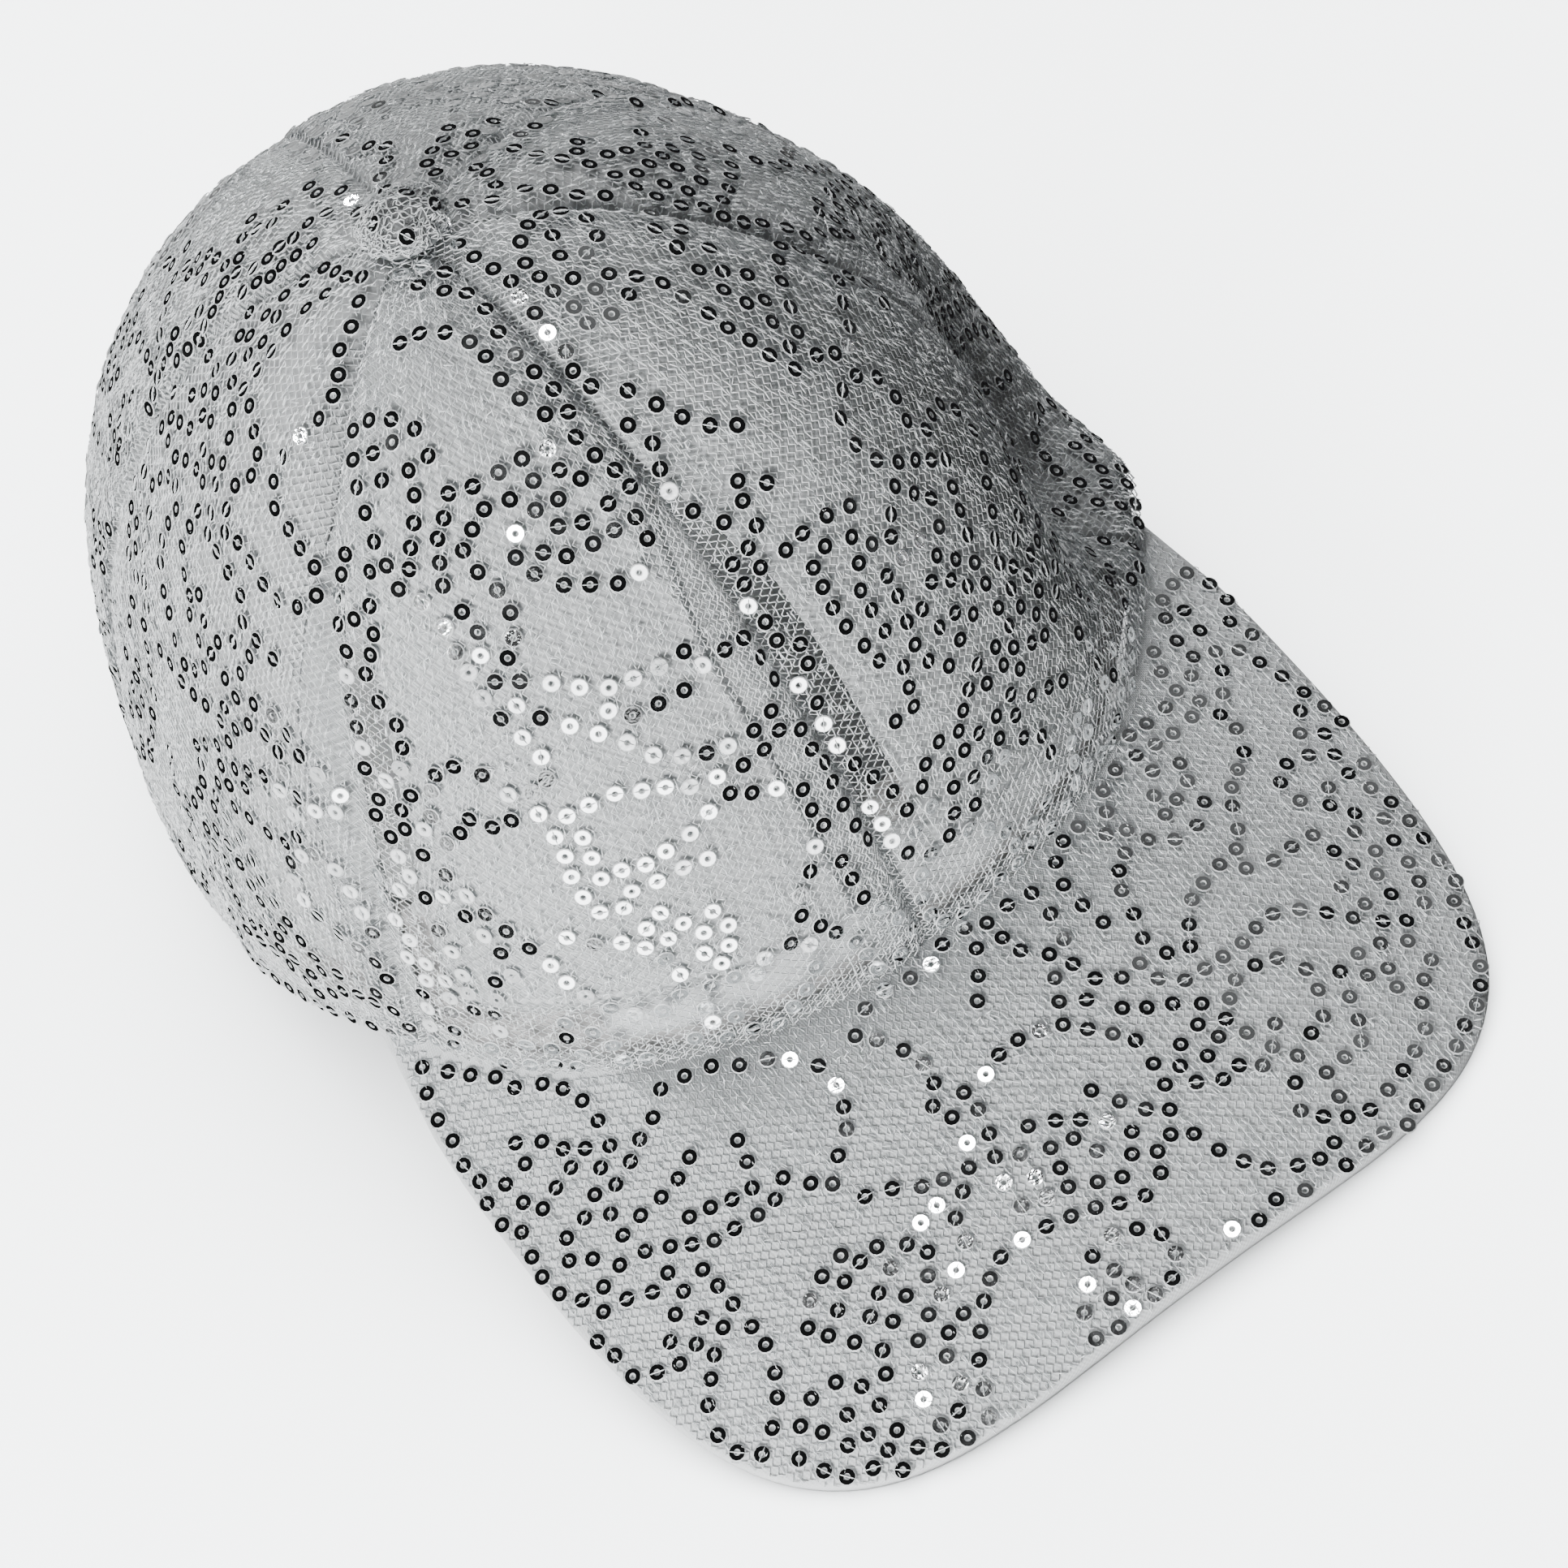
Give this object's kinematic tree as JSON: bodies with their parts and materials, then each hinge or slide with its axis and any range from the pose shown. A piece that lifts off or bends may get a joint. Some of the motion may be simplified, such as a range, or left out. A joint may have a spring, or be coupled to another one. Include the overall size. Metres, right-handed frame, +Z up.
{
  "type": "baseball cap",
  "caption": "Six-panel cap of silver sequinned net over white backing, with a curved brim, a top button, a sweatband and a hook-and-loop back closure.",
  "frame": {"origin": "centre of the bounding box's base, on the table under the cap", "axes": "+Z up, -Y the way the brim points, +X the wearer's left"},
  "size_m": [0.1599, 0.2591, 0.1371],
  "materials": {
    "sequin_net": "silver-grey warp-knit net with sewn mirror sequins",
    "button_net": "the same net gathered over the button",
    "white_backing": "white non-woven backing",
    "stiff_buckram": "white stiffened buckram",
    "white_tape": "white cotton twill tape",
    "brim_board": "moulded brim board, matt",
    "brim_lining": "grey-white woven cloth",
    "sweatband_cloth": "white cotton twill",
    "pad_foam": "thin white foam-backed cloth",
    "tab_webbing": "folded white cotton tab",
    "hook_tape": "nylon hook tape",
    "loop_tape": "brushed nylon loop tape",
    "button_metal": "pressed, satin",
    "washer_metal": "pressed, satin"
  },
  "bodies": {
    "cap": {"brim_core": "brim_board", "brim_cover_top": "sequin_net", "brim_cover_bottom": "brim_lining", "button_cover": "button_net", "button_shell": "button_metal", "button_post": "button_metal", "button_washer": "washer_metal", "sweatband": "sweatband_cloth", "sweatband_front_pad": "pad_foam", "opening_binding": "white_tape", "outer_tab_root": "tab_webbing", "inner_tab_root": "tab_webbing", "panel_front_left": "sequin_net", "buckram_front_left": "stiff_buckram", "panel_side_left": "sequin_net", "lining_side_left": "white_backing", "panel_back_left": "sequin_net", "lining_back_left": "white_backing", "panel_back_right": "sequin_net", "lining_back_right": "white_backing", "panel_side_right": "sequin_net", "lining_side_right": "white_backing", "panel_front_right": "sequin_net", "buckram_front_right": "stiff_buckram", "seam_tape_front": "white_tape", "seam_tape_front_left": "white_tape", "seam_tape_back_left": "white_tape", "seam_tape_back": "white_tape", "seam_tape_back_right": "white_tape", "seam_tape_front_right": "white_tape"},
    "outer_tab": {"outer_tab": "tab_webbing", "hook_patch": "hook_tape"},
    "inner_tab": {"inner_tab": "tab_webbing", "loop_patch": "loop_tape"}
  },
  "joints": [
    {"name": "outer_tab_peel", "type": "hinge", "parent": "cap", "child": "outer_tab", "pos_m": [0.04072, 0.11506, 0.01285], "axis": [0.033, 0.0691, -0.9971], "range_deg": [0, 105]},
    {"name": "inner_tab_fold", "type": "hinge", "parent": "cap", "child": "inner_tab", "pos_m": [-0.04079, 0.11506, 0.01287], "axis": [-0.0216, 0.0691, -0.9974], "range_deg": [0, 72]}
  ]
}
